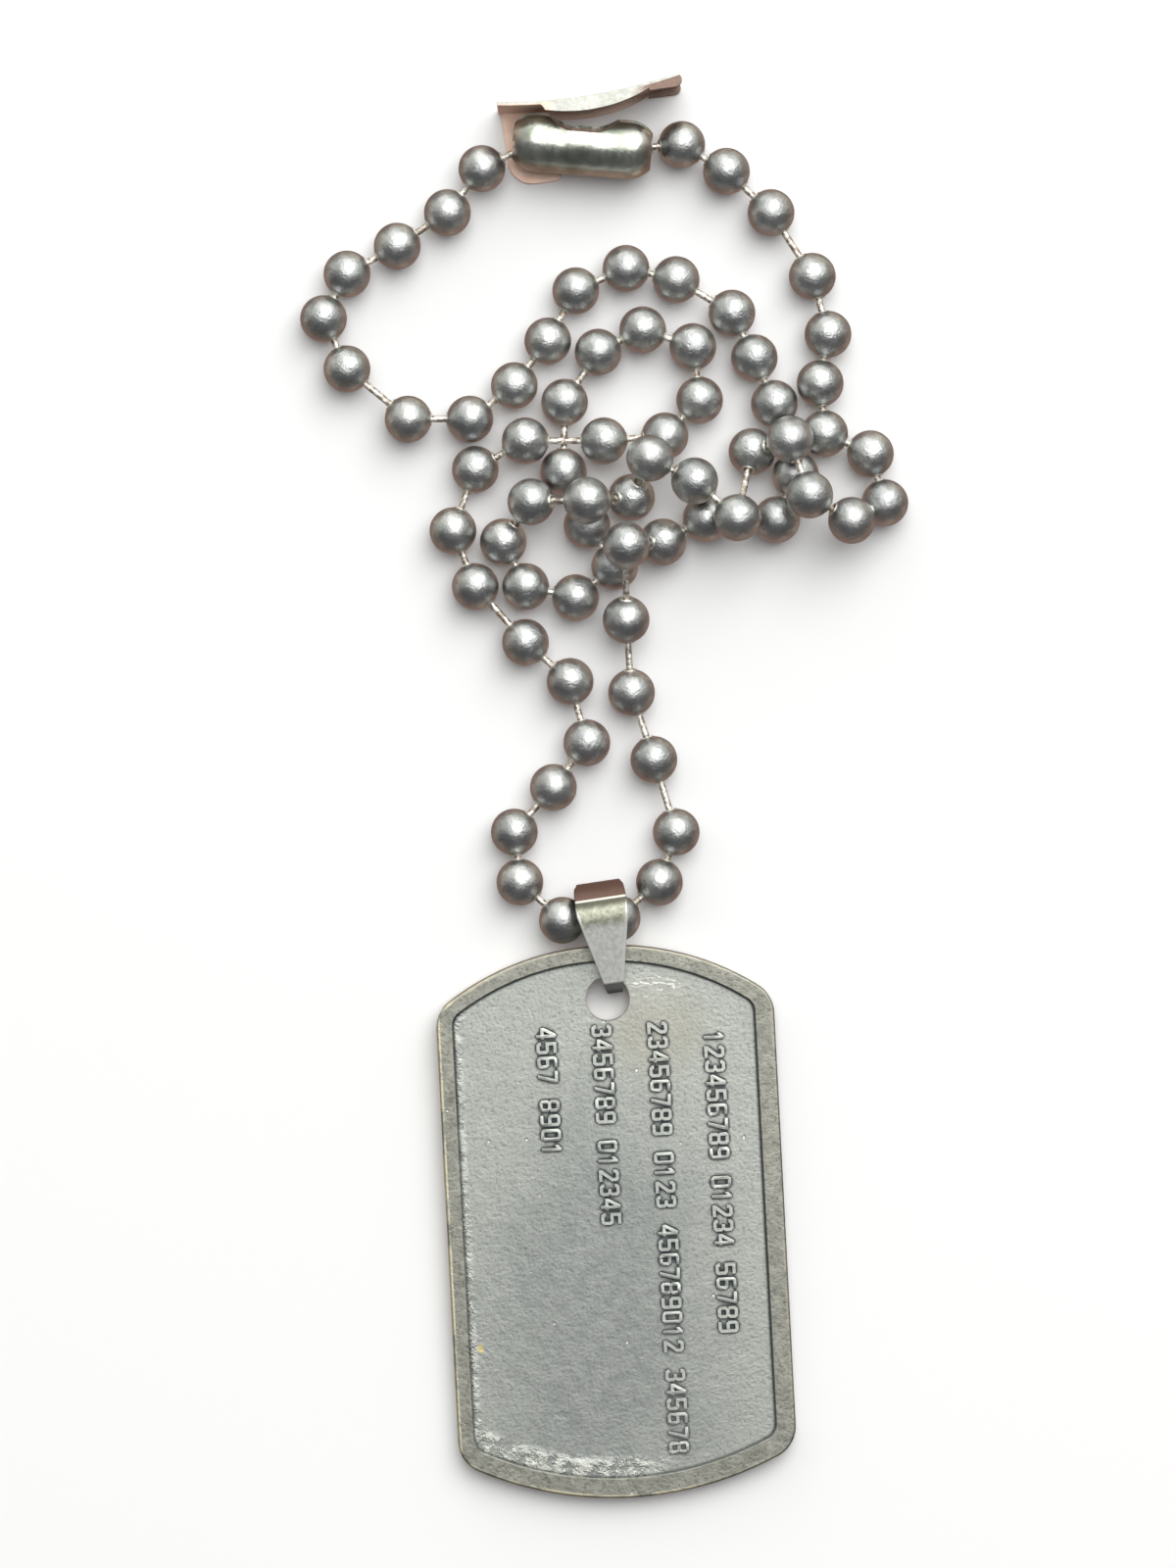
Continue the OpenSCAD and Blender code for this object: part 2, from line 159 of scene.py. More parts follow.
add_window(
    "window_above", way=(0.25, 0.5, 1), away=0.9, size=(0.85, 1.25), watts=8.1, tint=(1, 1, 1)
)
add_window(
    "window_behind",
    way=(-0.3, 1.2, 0.35),
    away=0.9,
    size=(0.5, 0.3),
    watts=0.8,
    tint=(1, 0.99, 0.96),
)
world = bpy.data.worlds.new("room")
bpy.context.scene.world = world
world.use_nodes = True
tree = world.node_tree
way = add_node(tree, "TexCoord").outputs["Generated"]
toward_clasp, height = axes_of(tree, way)[1:]
sky_dim, sky_bright = (0.12, 0.12, 0.125), (0.90, 0.91, 0.87)
sky = blend_tones(tree, steps_between(tree, toward_clasp, -0.2, 0.5), sky_dim, sky_bright)
ground_dim, ground_warm = (0.17, 0.14, 0.125), (0.36, 0.235, 0.195)
ground = blend_tones(tree, steps_between(tree, height, -0.05, -0.75), ground_dim, ground_warm)
glint = add_node(tree, "TexVoronoi", Vector=way, Scale=2.7).outputs["Distance"]
glint = steps_between(tree, glint, 0.33, 0.24)
glint_top = steps_between(tree, height, -0.05, -0.12)
glint_foot = steps_between(tree, height, -0.62, -0.45)
glint = times(tree, glint, times(tree, glint_top, glint_foot))
glint_colour = (2.6, 2.45, 2.0)
ground = blend_tones(tree, glint, ground, glint_colour)
room = blend_tones(tree, steps_between(tree, height, -0.05, 0.03), ground, sky)
tree.links.new(room, tree.nodes["Background"].inputs["Color"])
bpy.context.scene.view_settings.view_transform = "Standard"


# Tag, one cast plate of pewter-coloured metal with a raised rim and raised digits, blackened
# and then rubbed bright. It lies turned by 3 degrees, its top end lifted by the bail.
tag_width = 30.3 * mm
tag_length = 49.6 * mm
top_radius = 24.5 * mm
foot_radius = 31 * mm
rim_width = 1.6 * mm
tag_middle = (1.1 * mm, -38.9 * mm, 0)
tag_turn = math.radians(3)
tag_rise = 0.6 * mm
hole_below = 4.8 * mm
hole_radius = 2 * mm
field_height = 1.5 * mm
tag_tilt = math.asin(tag_rise / (tag_length - hole_below - hole_radius))
top_middle = tag_length / 2 - top_radius
foot_middle = foot_radius - tag_length / 2
tag_place = (
    Matrix.Translation(tag_middle)
    @ Matrix.Rotation(tag_turn, 4, "Z")
    @ Matrix.Translation((0, -tag_length / 2, 0))
    @ Matrix.Rotation(tag_tilt, 4, "X")
    @ Matrix.Translation((0, tag_length / 2, 0))
)
weld_distance = 0.001 * mm


def merged_copy(node):
    """A bmesh of a CAD node, with its loose triangles merged into flat faces."""
    shape = bmesh.new()
    shape.from_mesh(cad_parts[node].data)
    bmesh.ops.remove_doubles(shape, verts=shape.verts, dist=weld_distance)
    flat = math.radians(0.5)
    bmesh.ops.dissolve_limit(shape, angle_limit=flat, verts=shape.verts, edges=shape.edges)
    return shape


def sharp_edges(shape, least_angle, chosen=lambda edge: True):
    """The edges that stand out by more than least_angle degrees, of those chosen."""
    return [
        edge
        for edge in shape.edges
        if len(edge.link_faces) == 2
        and edge.calc_face_angle_signed(0) > math.radians(least_angle)
        and chosen(edge)
    ]


def round_edges(shape, edges, radius, segments):
    """Rounds edges off, the tag's and the folded sheets' alike."""
    bmesh.ops.bevel(
        shape,
        geom=edges,
        offset=radius,
        offset_type="OFFSET",
        affect="EDGES",
        segments=segments,
        profile=0.5,
        material=-1,
        clamp_overlap=True,
        loop_slide=True,
    )


def even_normals(piece, sharp_angle):
    """Shades wide flat faces flat up to the rounds beside them, and sharp edges sharp."""
    piece.data.set_sharp_from_angle(angle=math.radians(sharp_angle))
    modifier = piece.modifiers.new("even_normals", "WEIGHTED_NORMAL")
    modifier.keep_sharp = True
    modifier.weight = 100


def inside_by(place):
    """How far a place lies inside the tag's outline."""
    side = abs(place.x) - tag_width / 2
    top = math.hypot(place.x, max(place.y, 0) - top_middle) - top_radius
    foot = math.hypot(place.x, min(place.y, 0) - foot_middle) - foot_radius
    return -max(side, top, foot)


shape = merged_copy("tag")
shape.transform(tag_place.inverted())
outer_round = 0.2 * mm
inner_round = 0.1 * mm
digit_round = 0.08 * mm
# Above the field, the digits' tops lie between these heights and the rim's above both
digit_least, digit_most = 0.1 * mm, 0.4 * mm


def on_outside(edge):
    """Whether an edge lies on the tag's outline."""
    return all(inside_by(vert.co) < rim_width / 2 for vert in edge.verts)


def on_rim_inside(edge):
    """Whether an edge lies on top of the rim's inner wall."""
    above = all(vert.co.z > field_height + digit_most for vert in edge.verts)
    return above and not on_outside(edge)


def on_digit(edge):
    """Whether an edge lies on top of a digit."""
    height = [vert.co.z - field_height for vert in edge.verts]
    return min(height) > digit_least and max(height) < digit_most


cast_angle = 40
round_edges(shape, sharp_edges(shape, cast_angle, on_digit), digit_round, segments=2)
round_edges(shape, sharp_edges(shape, cast_angle, on_rim_inside), inner_round, segments=2)
round_edges(shape, sharp_edges(shape, cast_angle, on_outside), outer_round, segments=3)
shape.transform(tag_place)
tag = add_mesh(shape, "tag_plate")
even_normals(tag, sharp_angle=35)


def noise(tree, where, scale, detail, rough):
    """The grey output of a noise texture: lumps a metre, layers of detail, their strength."""
    node = add_node(tree, "TexNoise", Vector=where, Scale=scale, Detail=detail, Roughness=rough)
    return node.outputs[0]


def bump(tree, height, depth, under=None):
    """The normal output of a bump of that depth in metres, on top of another bump."""
    node = add_node(tree, "Bump", Height=height, Strength=1.0, Distance=depth)
    if under:
        tree.links.new(under, node.inputs["Normal"])
    return node.outputs["Normal"]


def lay_over(tree, mask, strength, tone, colour):
    """A tone with a colour laid over it where the mask is, up to a strength of 0 to 1."""
    return blend_tones(tree, times(tree, mask, strength), tone, colour)


def in_hollows(tree, reach, low, high, samples, alone=False):
    """1 in hollows, whose open share is below high, and 0 where it is above low."""
    node = add_node(tree, "AmbientOcclusion", Distance=reach)
    node.samples = samples
    node.only_local = alone
    return steps_between(tree, node.outputs["AO"], low, high)


def own_place(tree, middle, turn):
    """The place on a piece from its own middle, along its own turned axes."""
    node = add_node(tree, "Mapping", Vector=add_node(tree, "TexCoord").outputs["Object"])
    node.vector_type = "TEXTURE"
    node.inputs["Location"].default_value = middle
    node.inputs["Rotation"].default_value = turn
    return node.outputs[0]


def stretched(tree, where, scale, turn=0):
    """A place whose axes are multiplied by scale, after a turn about the vertical."""
    node = add_node(tree, "Mapping", Vector=where)
    node.inputs["Rotation"].default_value = (0, 0, turn)
    node.inputs["Scale"].default_value = scale
    return node.outputs[0]


def link_finish(tree, shader, tone, roughness, normal):
    """Gives a shader its colour, roughness and normal."""
    tree.links.new(tone, shader.inputs["Base Color"])
    tree.links.new(roughness, shader.inputs["Roughness"])
    tree.links.new(normal, shader.inputs["Normal"])


def distance_node(tree, across, along, middle, stretch=(1, 1)):
    """The distance of a flat place from a middle, each axis first divided by its stretch."""
    parts = []
    for value, centre, scale in zip((across, along), middle, stretch):
        part = math_node(tree, "SUBTRACT", value, centre)
        part = math_node(tree, "DIVIDE", part, scale)
        parts.append(times(tree, part, part))
    return math_node(tree, "SQRT", math_node(tree, "ADD", *parts))


material, tree, shader = new_material("antique_pewter", Metallic=1.0)
local = own_place(tree, tag_place.to_translation(), tag_place.to_euler())
across, along, up = axes_of(tree, local)
# How far a place lies inside the outline, as inside_by has it
side = math_node(tree, "SUBTRACT", math_node(tree, "ABSOLUTE", across), tag_width / 2)
upper_half = math_node(tree, "MAXIMUM", along, 0)
top = distance_node(tree, across, upper_half, (0, top_middle))
top = math_node(tree, "SUBTRACT", top, top_radius)
lower_half = math_node(tree, "MINIMUM", along, 0)
foot = distance_node(tree, across, lower_half, (0, foot_middle))
foot = math_node(tree, "SUBTRACT", foot, foot_radius)
inside = math_node(tree, "MAXIMUM", side, math_node(tree, "MAXIMUM", top, foot))
inside = times(tree, inside, -1)
wide_noise = noise(tree, local, 90, 4, 0.6)
cloud_noise = noise(tree, local, 300, 5, 0.65)
patch_noise = noise(tree, local, 900, 4, 0.7)
grain_noise = noise(tree, local, 3200, 3, 0.6)
on_rim = steps_between(tree, up, field_height + 0.33 * mm, field_height + 0.42 * mm)
# The field: a pale haze near its top and sides, darker in the lower middle
haze = distance_node(tree, across, along, (-1.5 * mm, -8 * mm), (13 * mm, 26 * mm))
haze = math_node(tree, "ADD", haze, math_node(tree, "MULTIPLY_ADD", wide_noise, 1.0, -0.5))
haze = steps_between(tree, haze, 0.25, 1.15)
field_tone = blend_tones(tree, haze, (0.29, 0.305, 0.293), (0.41, 0.427, 0.393))
mottle = steps_between(tree, patch_noise, 0.38, 0.62)
field_tone = lay_over(tree, mottle, 0.3, field_tone, (0.46, 0.47, 0.44))
pitted = steps_between(tree, grain_noise, 0.46, 0.36)
field_tone = lay_over(tree, pitted, 0.38, field_tone, (0.19, 0.20, 0.185))
warm = distance_node(tree, across, along, (4.5 * mm, 17 * mm), (7 * mm, 6 * mm))
warm = steps_between(tree, warm, 1.0, 0.2)
field_tone = lay_over(tree, warm, 0.6, field_tone, (0.40, 0.385, 0.325))
# The digits' tops are rubbed a little brighter
digit_top = steps_between(tree, up, field_height + 0.17 * mm, field_height + 0.27 * mm)
field_tone = lay_over(tree, digit_top, 0.6, field_tone, (0.54, 0.56, 0.52))
# The rim is patchy and pitted
rim_dark, rim_pale = (0.12, 0.12, 0.10), (0.50, 0.50, 0.44)
rim_tone = blend_tones(tree, patch_noise, rim_dark, rim_pale)
rim_tone = lay_over(tree, pitted, 0.5, rim_tone, rim_dark)
tone = blend_tones(tree, on_rim, field_tone, rim_tone)
# Pale, crumbled metal in the lower left corner of the field and thinly up its left side
foot_band = steps_between(tree, foot, -rim_width - 2.3 * mm, -rim_width - 1.1 * mm)
corner = distance_node(tree, across, along, (-8 * mm, -21 * mm), (13 * mm, 9 * mm))
corner = steps_between(tree, corner, 1.0, 0.55)
left_band = steps_between(tree, inside, rim_width + 0.7 * mm, rim_width + 0.25 * mm)
left_band = times(tree, left_band, steps_between(tree, across, -12 * mm, -13 * mm))
left_band = times(tree, left_band, 0.55)
crumbs = math_node(tree, "MAXIMUM", times(tree, foot_band, corner), left_band)
crumbs = times(tree, crumbs, steps_between(tree, patch_noise, 0.40, 0.56))
crumbs = times(tree, crumbs, math_node(tree, "SUBTRACT", 1.0, on_rim))
tone = lay_over(tree, crumbs, 0.8, tone, (0.66, 0.67, 0.61))
# Worn, brassy edge, mostly on the left side and the lower end
slanted = math_node(tree, "MULTIPLY_ADD", along, 0.4, across)
lower_left = steps_between(tree, slanted, 4 * mm, -9 * mm)
edge_wear = steps_between(tree, inside, 0.38 * mm, 0.26 * mm)
edge_wear = times(tree, edge_wear, steps_between(tree, cloud_noise, 0.36, 0.55))
edge_wear = times(tree, edge_wear, math_node(tree, "MULTIPLY_ADD", lower_left, 0.8, 0.2))
tone = blend_tones(tree, edge_wear, tone, (0.66, 0.62, 0.46))
# One spot of bare brass in the field, low on its left side
spot = distance_node(tree, across, along, (-12.7 * mm, -10.8 * mm), (0.35 * mm, 0.6 * mm))
spot = math_node(tree, "ADD", spot, patch_noise)
tone = blend_tones(tree, steps_between(tree, spot, 1.5, 1.1), tone, (0.62, 0.53, 0.25))
# Scratches to the right of the hole, and small nicks all over
scratch_way = math.radians(38)
scratches = noise(tree, stretched(tree, local, (0.5, 1.6, 1), scratch_way), 1200, 2, 0.5)
scratches = math_node(tree, "ABSOLUTE", math_node(tree, "SUBTRACT", scratches, 0.56))
scratches = steps_between(tree, scratches, 0.028, 0.014)
by_hole = distance_node(tree, across, along, (4.6 * mm, 20.9 * mm), (2.9 * mm, 1.3 * mm))
scratches = times(tree, scratches, steps_between(tree, by_hole, 1.0, 0.6))
nicks = add_node(tree, "TexVoronoi", Vector=local, Scale=480.0)
nick = steps_between(tree, nicks.outputs["Distance"], 0.085, 0.045)
nick = times(tree, nick, steps_between(tree, wide_noise, 0.5, 0.56))
marks = math_node(tree, "MAXIMUM", scratches, nick)
tone = lay_over(tree, marks, 0.85, tone, (0.84, 0.84, 0.78))
# Black patina and painted shade in the corners, beside the rim's inner wall and round the digits;
# the painted shade is heavier towards the upper right, where the rim shades the field
dark = in_hollows(tree, 0.4 * mm, 0.94, 0.62, samples=12, alone=True)
upper_right = steps_between(tree, math_node(tree, "ADD", across, along), -14 * mm, 4 * mm)
dark = times(tree, dark, math_node(tree, "MULTIPLY_ADD", upper_right, 0.25, 0.7))
tone = blend_tones(tree, dark, tone, (0.035, 0.042, 0.045))
coarse = bump(tree, cloud_noise, 0.022 * mm)
medium = bump(tree, times(tree, patch_noise, crumbs), 0.12 * mm, coarse)
medium = bump(tree, patch_noise, 0.035 * mm, medium)
fine = bump(tree, grain_noise, 0.03 * mm, medium)
nicked = bump(tree, math_node(tree, "SUBTRACT", 1.0, nick), 0.05 * mm, fine)
roughness = math_node(tree, "MULTIPLY_ADD", cloud_noise, 0.25, 0.36)
link_finish(tree, shader, tone, roughness, nicked)
tag.data.materials.append(material)
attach(tag, "necklace")
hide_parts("tag")


# Bail, one strip of sheet steel folded into a loop round the chain, its two tips bent into
# the tag's hole. Its faces are satin, painted brown over the back of the loop.
bail_middle = (-0.1 * mm, -11.3 * mm, 0)
bail_way = math.radians(-81.5)
shape = merged_copy("bail")
bail_place = Matrix.Translation(bail_middle) @ Matrix.Rotation(bail_way, 4, "Z")
shape.transform(bail_place.inverted())
# The strip's edges are drawn in a little round the back of the loop
draw_start = -1.3 * mm
draw_length = 1.6 * mm
draw_share = 0.14
for vert in shape.verts:
    past = max(0, (draw_start - vert.co.x) / draw_length)
    vert.co.y *= 1 - draw_share * past**3
shape.transform(bail_place)
strip_round = 0.12 * mm
round_edges(shape, sharp_edges(shape, least_angle=50), strip_round, segments=3)
bail = add_mesh(shape, "folded_bail")
even_normals(bail, sharp_angle=32)
material, tree, shader = new_material("satin_steel", Metallic=0.55)
local = own_place(tree, bail_middle, (0, 0, bail_way))
down, aside = axes_of(tree, local)[:2]
lines = noise(tree, stretched(tree, local, (0.6, 7, 2)), 700, 4, 0.6)
clouds = noise(tree, local, 700, 4, 0.6)
specks = noise(tree, local, 2400, 4, 0.7)
spread = steps_between(tree, specks, 0.36, 0.64)
tone = blend_tones(tree, spread, (0.78, 0.79, 0.74), (1.0, 1.0, 0.96))
# Over the bend of the loop the steel is painted darker and yellowish, with dark specks: painted
# shade that tones down the highlight on the bend, darkest and olive just below the line across it
bend_shade = steps_between(tree, down, 1.4 * mm, 0.5 * mm)
yellowish = blend_tones(tree, spread, (0.24, 0.24, 0.16), (0.46, 0.46, 0.34))
tone = lay_over(tree, bend_shade, 0.85, tone, yellowish)
olive_shade = steps_between(tree, down, -0.35 * mm, -1.0 * mm)
tone = lay_over(tree, olive_shade, 0.92, tone, (0.07, 0.068, 0.045))
# The long edges are painted bright as highlights, and so is a thin line across the loop
half_at_loop, half_at_tip, leg_length = 2.3 * mm, 0.7 * mm, 7.2 * mm
taper = (half_at_tip - half_at_loop) / leg_length
half_width = math_node(tree, "MULTIPLY_ADD", down, taper, half_at_loop)
edge = math_node(tree, "SUBTRACT", half_width, math_node(tree, "ABSOLUTE", aside))
edge = steps_between(tree, edge, 0.32 * mm, 0.18 * mm)
tone = lay_over(tree, edge, 0.7, tone, (1.0, 1.0, 0.96))
# A brown band painted over the back of the loop
brown_band = steps_between(tree, down, -1.4 * mm, -1.55 * mm)
tone = lay_over(tree, brown_band, 0.85, tone, (0.15, 0.078, 0.06))
crossing_highlight = math_node(tree, "ABSOLUTE", math_node(tree, "ADD", down, 1.38 * mm))
crossing_highlight = steps_between(tree, crossing_highlight, 0.13 * mm, 0.06 * mm)
tone = lay_over(tree, crossing_highlight, 0.7, tone, (0.9, 0.88, 0.8))
# The tips are painted near black, and the strip's hollows get painted shade
blackened = steps_between(tree, down, 6.1 * mm, 6.35 * mm)
tone = lay_over(tree, blackened, 0.85, tone, (0.05, 0.05, 0.05))
dark = in_hollows(tree, 0.6 * mm, 0.7, 0.2, samples=8)
tone = lay_over(tree, dark, 0.7, tone, (0.08, 0.07, 0.06))
uneven = bump(tree, clouds, 0.03 * mm)
uneven = bump(tree, specks, 0.025 * mm, uneven)
uneven = bump(tree, lines, 0.012 * mm, uneven)
roughness = math_node(tree, "MULTIPLY_ADD", lines, 0.2, 0.34)
link_finish(tree, shader, tone, roughness, uneven)
bail.data.materials.append(material)
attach(bail, "necklace")
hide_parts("bail")


# Beads, 72 hollow balls of nickel-plated steel, each closed round the heads of two links.
# A rolled lip leads into each of a bead's two holes.
smallest_part = 3 * mm


def loose_middles(node):
    """The middle of each loose part of a CAD node."""
    shape = bmesh.new()
    shape.from_mesh(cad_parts[node].data)
    bmesh.ops.remove_doubles(shape, verts=shape.verts, dist=weld_distance)
    middles = []
    left = set(shape.verts)
    while left:
        part = [left.pop()]
        for vert in part:
            for edge in vert.link_edges:
                other = edge.other_vert(vert)
                if other in left:
                    left.remove(other)
                    part.append(other)
        low = Vector(min(vert.co[axis] for vert in part) for axis in range(3))
        high = Vector(max(vert.co[axis] for vert in part) for axis in range(3))
        if (high - low).length > smallest_part:
            middles.append((low + high) / 2)
    shape.free()
    return sorted(middles, key=lambda middle: tuple(middle))


bead_radius = 2.1 * mm
bead_places = loose_middles("chain_beads")
# A link's middle is the middle of the two beads that it joins
middle_off, longest_step = 0.15 * mm, 8 * mm
link_pairs = []
for middle in loose_middles("chain_links"):
    for place, first in enumerate(bead_places):
        for other, second in enumerate(bead_places[:place]):
            if ((first + second) / 2 - middle).length < middle_off:
                if (first - second).length < longest_step:
                    link_pairs.append((place, other))
ways_out = {place: [] for place in range(len(bead_places))}
for first, second in link_pairs:
    way = (bead_places[second] - bead_places[first]).normalized()
    ways_out[first].append(way)
    ways_out[second].append(-way)

# Rings of the lip and the hole, in mm: distance from the bead's middle, radius
lip_rings = [(2.0, 0.64), (2.08, 0.61), (2.09, 0.51), (2.02, 0.42), (1.7, 0.42)]


def add_lip(shape, way):
    """Cuts off the cap of a ball towards way and rolls its edge in to a blind hole."""
    geometry = shape.verts[:] + shape.edges[:] + shape.faces[:]
    cut = bmesh.ops.bisect_plane(
        shape,
        geom=geometry,
        plane_co=way * lip_rings[0][0] * mm,
        plane_no=way,
        clear_outer=True,
    )
    loop = [item for item in cut["geom_cut"] if isinstance(item, bmesh.types.BMEdge)]
    for ring, (far, radius) in enumerate(lip_rings):
        if ring:
            more = bmesh.ops.extrude_edge_only(shape, edges=loop)["geom"]
            loop = [item for item in more if isinstance(item, bmesh.types.BMEdge)]
            for face in {face for edge in loop for face in edge.link_faces}:
                face.material_index = 1
        for vert in {vert for edge in loop for vert in edge.verts}:
            out = vert.co - way * vert.co.dot(way)
            vert.co = way * far * mm + out.normalized() * radius * mm
    bmesh.ops.holes_fill(shape, edges=loop, sides=0)


# Each ball is turned by another step, so that no two show the same facets
turn_step = 1.3
beads = bmesh.new()
for place, middle in enumerate(bead_places):
    ball = bmesh.new()
    turn = Matrix.Rotation(place * turn_step, 4, Vector((1, place % 3, 2)).normalized())
    bmesh.ops.create_icosphere(ball, subdivisions=4, radius=bead_radius, matrix=turn)
    for way in ways_out[place]:
        add_lip(ball, way)
    bmesh.ops.recalc_face_normals(ball, faces=ball.faces)
    bmesh.ops.translate(ball, verts=ball.verts, vec=middle)
    one = bpy.data.meshes.new("ball")
    ball.to_mesh(one)
    ball.free()
    beads.from_mesh(one)
    bpy.data.meshes.remove(one)
chain_balls = add_mesh(beads, "chain_balls")
chain_balls.data.set_sharp_from_angle(angle=math.radians(60))
material, tree, shader = new_material("nickel_plate", Metallic=1.0)
where = add_node(tree, "TexCoord").outputs["Object"]
clouds = noise(tree, where, 420, 4, 0.6)
scuffs = noise(tree, where, 1500, 5, 0.7)
grain = noise(tree, where, 5000, 2, 0.5)
patches = steps_between(tree, clouds, 0.3, 0.7)
tone = blend_tones(tree, patches, (0.41, 0.42, 0.42), (0.58, 0.59, 0.57))
worn = steps_between(tree, scuffs, 0.56, 0.72)
tone = lay_over(tree, worn, 0.5, tone, (0.74, 0.73, 0.66))
# Painted shade, dark brown, where a ball lies close to its neighbours and to other pieces
dark = in_hollows(tree, 1.2 * mm, 0.55, 0.15, samples=8)
tone = lay_over(tree, dark, 0.7, tone, (0.09, 0.065, 0.055))
dents = bump(tree, clouds, 0.07 * mm)
scuffed = bump(tree, scuffs, 0.07 * mm, dents)
grained = bump(tree, grain, 0.03 * mm, scuffed)
roughness = math_node(tree, "MULTIPLY_ADD", scuffs, 0.2, 0.25)
link_finish(tree, shader, tone, roughness, grained)
chain_balls.data.materials.append(material)
# The lip round each hole, painted bright as a highlight
material, tree, shader = new_material("lip_highlight", Metallic=1.0)
where = add_node(tree, "TexCoord").outputs["Object"]
scuffs = noise(tree, where, 2500, 3, 0.6)
tone = blend_tones(tree, scuffs, (0.62, 0.60, 0.53), (0.95, 0.93, 0.86))
roughness = math_node(tree, "MULTIPLY_ADD", scuffs, 0.2, 0.35)
link_finish(tree, shader, tone, roughness, bump(tree, scuffs, 0.02 * mm))
chain_balls.data.materials.append(material)
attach(chain_balls, "necklace")
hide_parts("chain_beads")


# Links, 71 short pieces of bright steel wire with a round head at each end. Each head is held
# inside a bead, and the wire between shows as a narrow, scuffed neck.
wire_radius = 0.3 * mm
head_radius = 0.5 * mm
head_out = 1.2 * mm
links = bmesh.new()
for first, second in link_pairs:
    start, end = bead_places[first], bead_places[second]
    way = (end - start).normalized()
    turned = way.to_track_quat("Z", "Y").to_matrix().to_4x4()
    length = (end - start).length - 2 * head_out
    bmesh.ops.create_cone(
        links,
        cap_ends=True,
        segments=14,
        radius1=wire_radius,
        radius2=wire_radius,
        depth=length,
        matrix=Matrix.Translation((start + end) / 2) @ turned,
    )
    for middle in (start + way * head_out, end - way * head_out):
        bmesh.ops.create_uvsphere(
            links,
            u_segments=12,
            v_segments=8,
            radius=head_radius,
            matrix=Matrix.Translation(middle) @ turned,
        )
wires = add_mesh(links, "chain_wires")
wires.data.set_sharp_from_angle(angle=math.radians(50))
material, tree, shader = new_material("bright_wire", Metallic=1.0)
where = add_node(tree, "TexCoord").outputs["Object"]
scuffs = noise(tree, where, 1800, 4, 0.6)
worn = steps_between(tree, scuffs, 0.42, 0.58)
tone = blend_tones(tree, worn, (0.40, 0.34, 0.28), (1.0, 0.98, 0.90))
roughness = math_node(tree, "MULTIPLY_ADD", scuffs, 0.2, 0.36)
link_finish(tree, shader, tone, roughness, bump(tree, scuffs, 0.16 * mm))
wires.data.materials.append(material)
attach(wires, "necklace")
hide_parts("chain_links")


# Clasp barrel, a trough pressed from sheet steel with rounded ends, polished by wear. Its
# ends and its inside are painted brown, a painted reflection of the warm surroundings.
barrel_middle = (-1.9 * mm, 57.4 * mm, 3.1 * mm)
barrel_turn = math.radians(-4.5)
barrel_wall_middle = 2.51 * mm
wall_fade = 0.05 * mm
barrel_round = 0.09 * mm
shape = merged_copy("clasp_barrel")
round_edges(shape, sharp_edges(shape, least_angle=50), barrel_round, segments=3)
barrel = add_mesh(shape, "barrel_trough")
even_normals(barrel, sharp_angle=32)
material, tree, shader = new_material("polished_clasp", Metallic=1.0)
local = own_place(tree, barrel_middle, (0, 0, barrel_turn))
lines = noise(tree, stretched(tree, local, (5, 0.8, 0.8)), 500, 4, 0.6)
clouds = noise(tree, local, 420, 3, 0.5)
blobs = steps_between(tree, clouds, 0.3, 0.7)
tone = blend_tones(tree, blobs, (0.34, 0.37, 0.30), (0.66, 0.68, 0.62))
# Painted reflection of the warm surroundings: brown on the two ends, lighter brown on the inside
along, aside, above = axes_of(tree, local)
from_middle = math_node(tree, "ABSOLUTE", along)
off_axis = distance_node(tree, aside, above, (0, 0))
brown_band = steps_between(tree, from_middle, 5.0 * mm, 6.1 * mm)
tone = lay_over(tree, brown_band, 0.7, tone, (0.36, 0.25, 0.20))
wall_from, wall_to = barrel_wall_middle + wall_fade, barrel_wall_middle - wall_fade
within = steps_between(tree, off_axis, wall_from, wall_to)
within = times(tree, within, steps_between(tree, from_middle, 4.6 * mm, 4.3 * mm))
tone = lay_over(tree, within, 0.85, tone, (0.56, 0.38, 0.31))
bare = math_node(tree, "MULTIPLY_ADD", within, -0.6, 1.0)
tree.links.new(bare, shader.inputs["Metallic"])
uneven = bump(tree, clouds, 0.16 * mm)
uneven = bump(tree, lines, 0.016 * mm, uneven)
roughness = math_node(tree, "MULTIPLY_ADD", lines, 0.25, 0.2)
link_finish(tree, shader, tone, roughness, uneven)
barrel.data.materials.append(material)
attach(barrel, "necklace")
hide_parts("clasp_barrel")
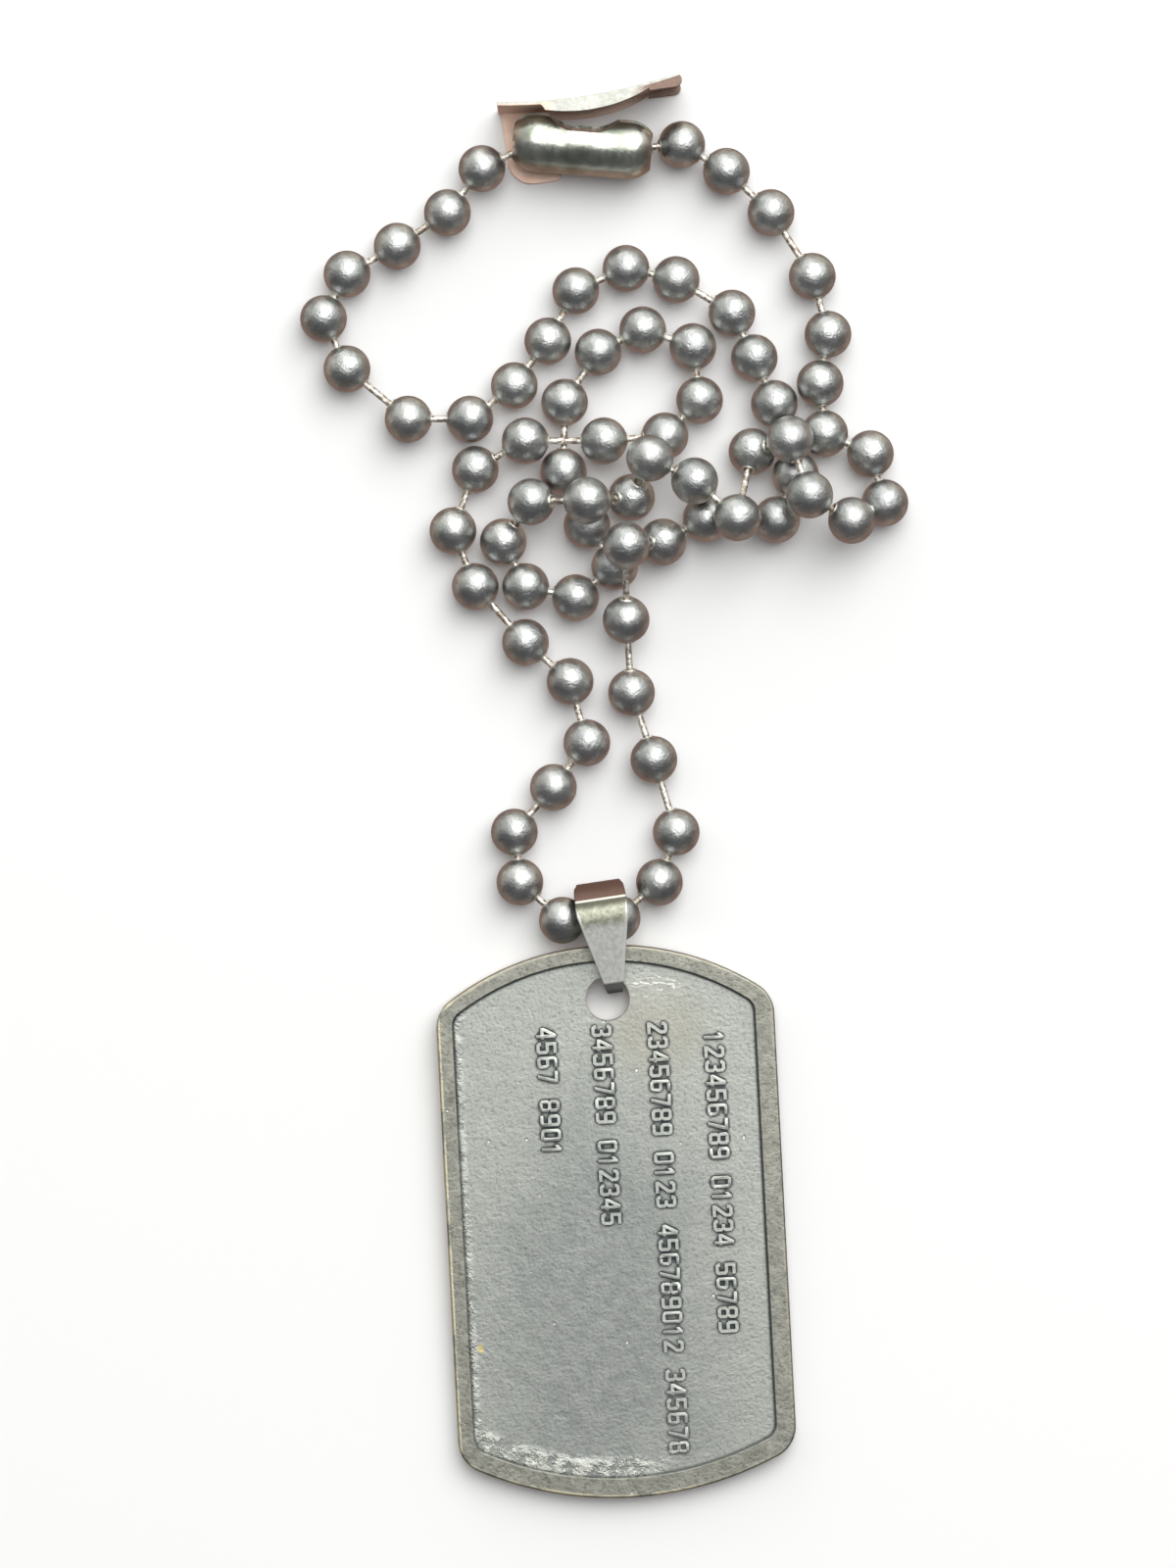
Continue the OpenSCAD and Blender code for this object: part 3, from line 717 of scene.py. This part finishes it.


# Clasp lever, a channel folded from thinner sheet of the same steel. It swings on a pip that
# stands in the barrel's hole, and ends in a thumb tab. It is bare, bright steel at the middle
# and brown at its tab. Its inner face, lower side, root and ear are painted copper, a painted
# reflection of the warm surroundings, painted lighter on the root where shade falls.
pivot = (-6.0543 * mm, 57.727 * mm, 3.1 * mm)
lever_way = math.radians(8)
lever_round = 0.07 * mm
bow_middle = (4.3 * mm, 51.1 * mm)
bow_radius = 48.2 * mm
web_fade = 0.05 * mm
shape = merged_copy("clasp_lever")
round_edges(shape, sharp_edges(shape, least_angle=50), lever_round, segments=3)
lever = add_mesh(shape, "folded_lever")
even_normals(lever, sharp_angle=32)
material, tree, shader = new_material("tarnished_lever", Metallic=1.0)
local = own_place(tree, pivot, (0, 0, lever_way))
along, across, above = axes_of(tree, local)
lines = noise(tree, stretched(tree, local, (0.6, 4, 1)), 500, 4, 0.6)
clouds = noise(tree, local, 500, 4, 0.6)
fine_clouds = noise(tree, local, 1500, 4, 0.7)
bright = blend_tones(tree, fine_clouds, (0.18, 0.185, 0.165), (0.68, 0.68, 0.62))
brown = blend_tones(tree, fine_clouds, (0.13, 0.08, 0.06), (0.34, 0.225, 0.175))
copper = blend_tones(tree, clouds, (0.52, 0.33, 0.25), (0.74, 0.54, 0.44))
# Lighter copper for the root, lightest on its low faces: painted light where shade falls
painted_light_copper = blend_tones(tree, clouds, (0.66, 0.47, 0.37), (0.90, 0.70, 0.58))
painted_light_in_shade = blend_tones(tree, clouds, (0.72, 0.48, 0.37), (0.94, 0.70, 0.57))
uneven_along = math_node(tree, "MULTIPLY_ADD", clouds, 1.5 * mm, along)
near_root = steps_between(tree, uneven_along, 3.2 * mm, 1.8 * mm)
near_tab = steps_between(tree, uneven_along, 9.2 * mm, 11.8 * mm)
low = steps_between(tree, above, 2.65 * mm, 2.35 * mm)
# The web's outer face is steel; its inner face and the lower side are painted copper, a painted
# reflection of the warm surroundings
from_bow = distance_node(tree, along, across, bow_middle)
behind_web = steps_between(tree, from_bow, bow_radius - web_fade, bow_radius + web_fade)
inner = times(tree, times(tree, low, behind_web), 0.8)
tone = blend_tones(tree, inner, bright, copper)
near_root = times(tree, near_root, behind_web)
near_tab = times(tree, near_tab, behind_web)
root_tone = blend_tones(tree, low, painted_light_copper, painted_light_in_shade)
tone = blend_tones(tree, near_root, tone, root_tone)
tone = blend_tones(tree, near_tab, tone, brown)
brown_share = math_node(tree, "MAXIMUM", near_root, math_node(tree, "MAXIMUM", near_tab, inner))
bare = math_node(tree, "MULTIPLY_ADD", brown_share, -0.7, 1.0)
tree.links.new(bare, shader.inputs["Metallic"])
uneven = bump(tree, clouds, 0.06 * mm)
uneven = bump(tree, lines, 0.012 * mm, uneven)
roughness = math_node(tree, "MULTIPLY_ADD", lines, 0.2, 0.34)
link_finish(tree, shader, tone, roughness, uneven)
lever.data.materials.append(material)
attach(lever, "lever")
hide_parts("clasp_lever")
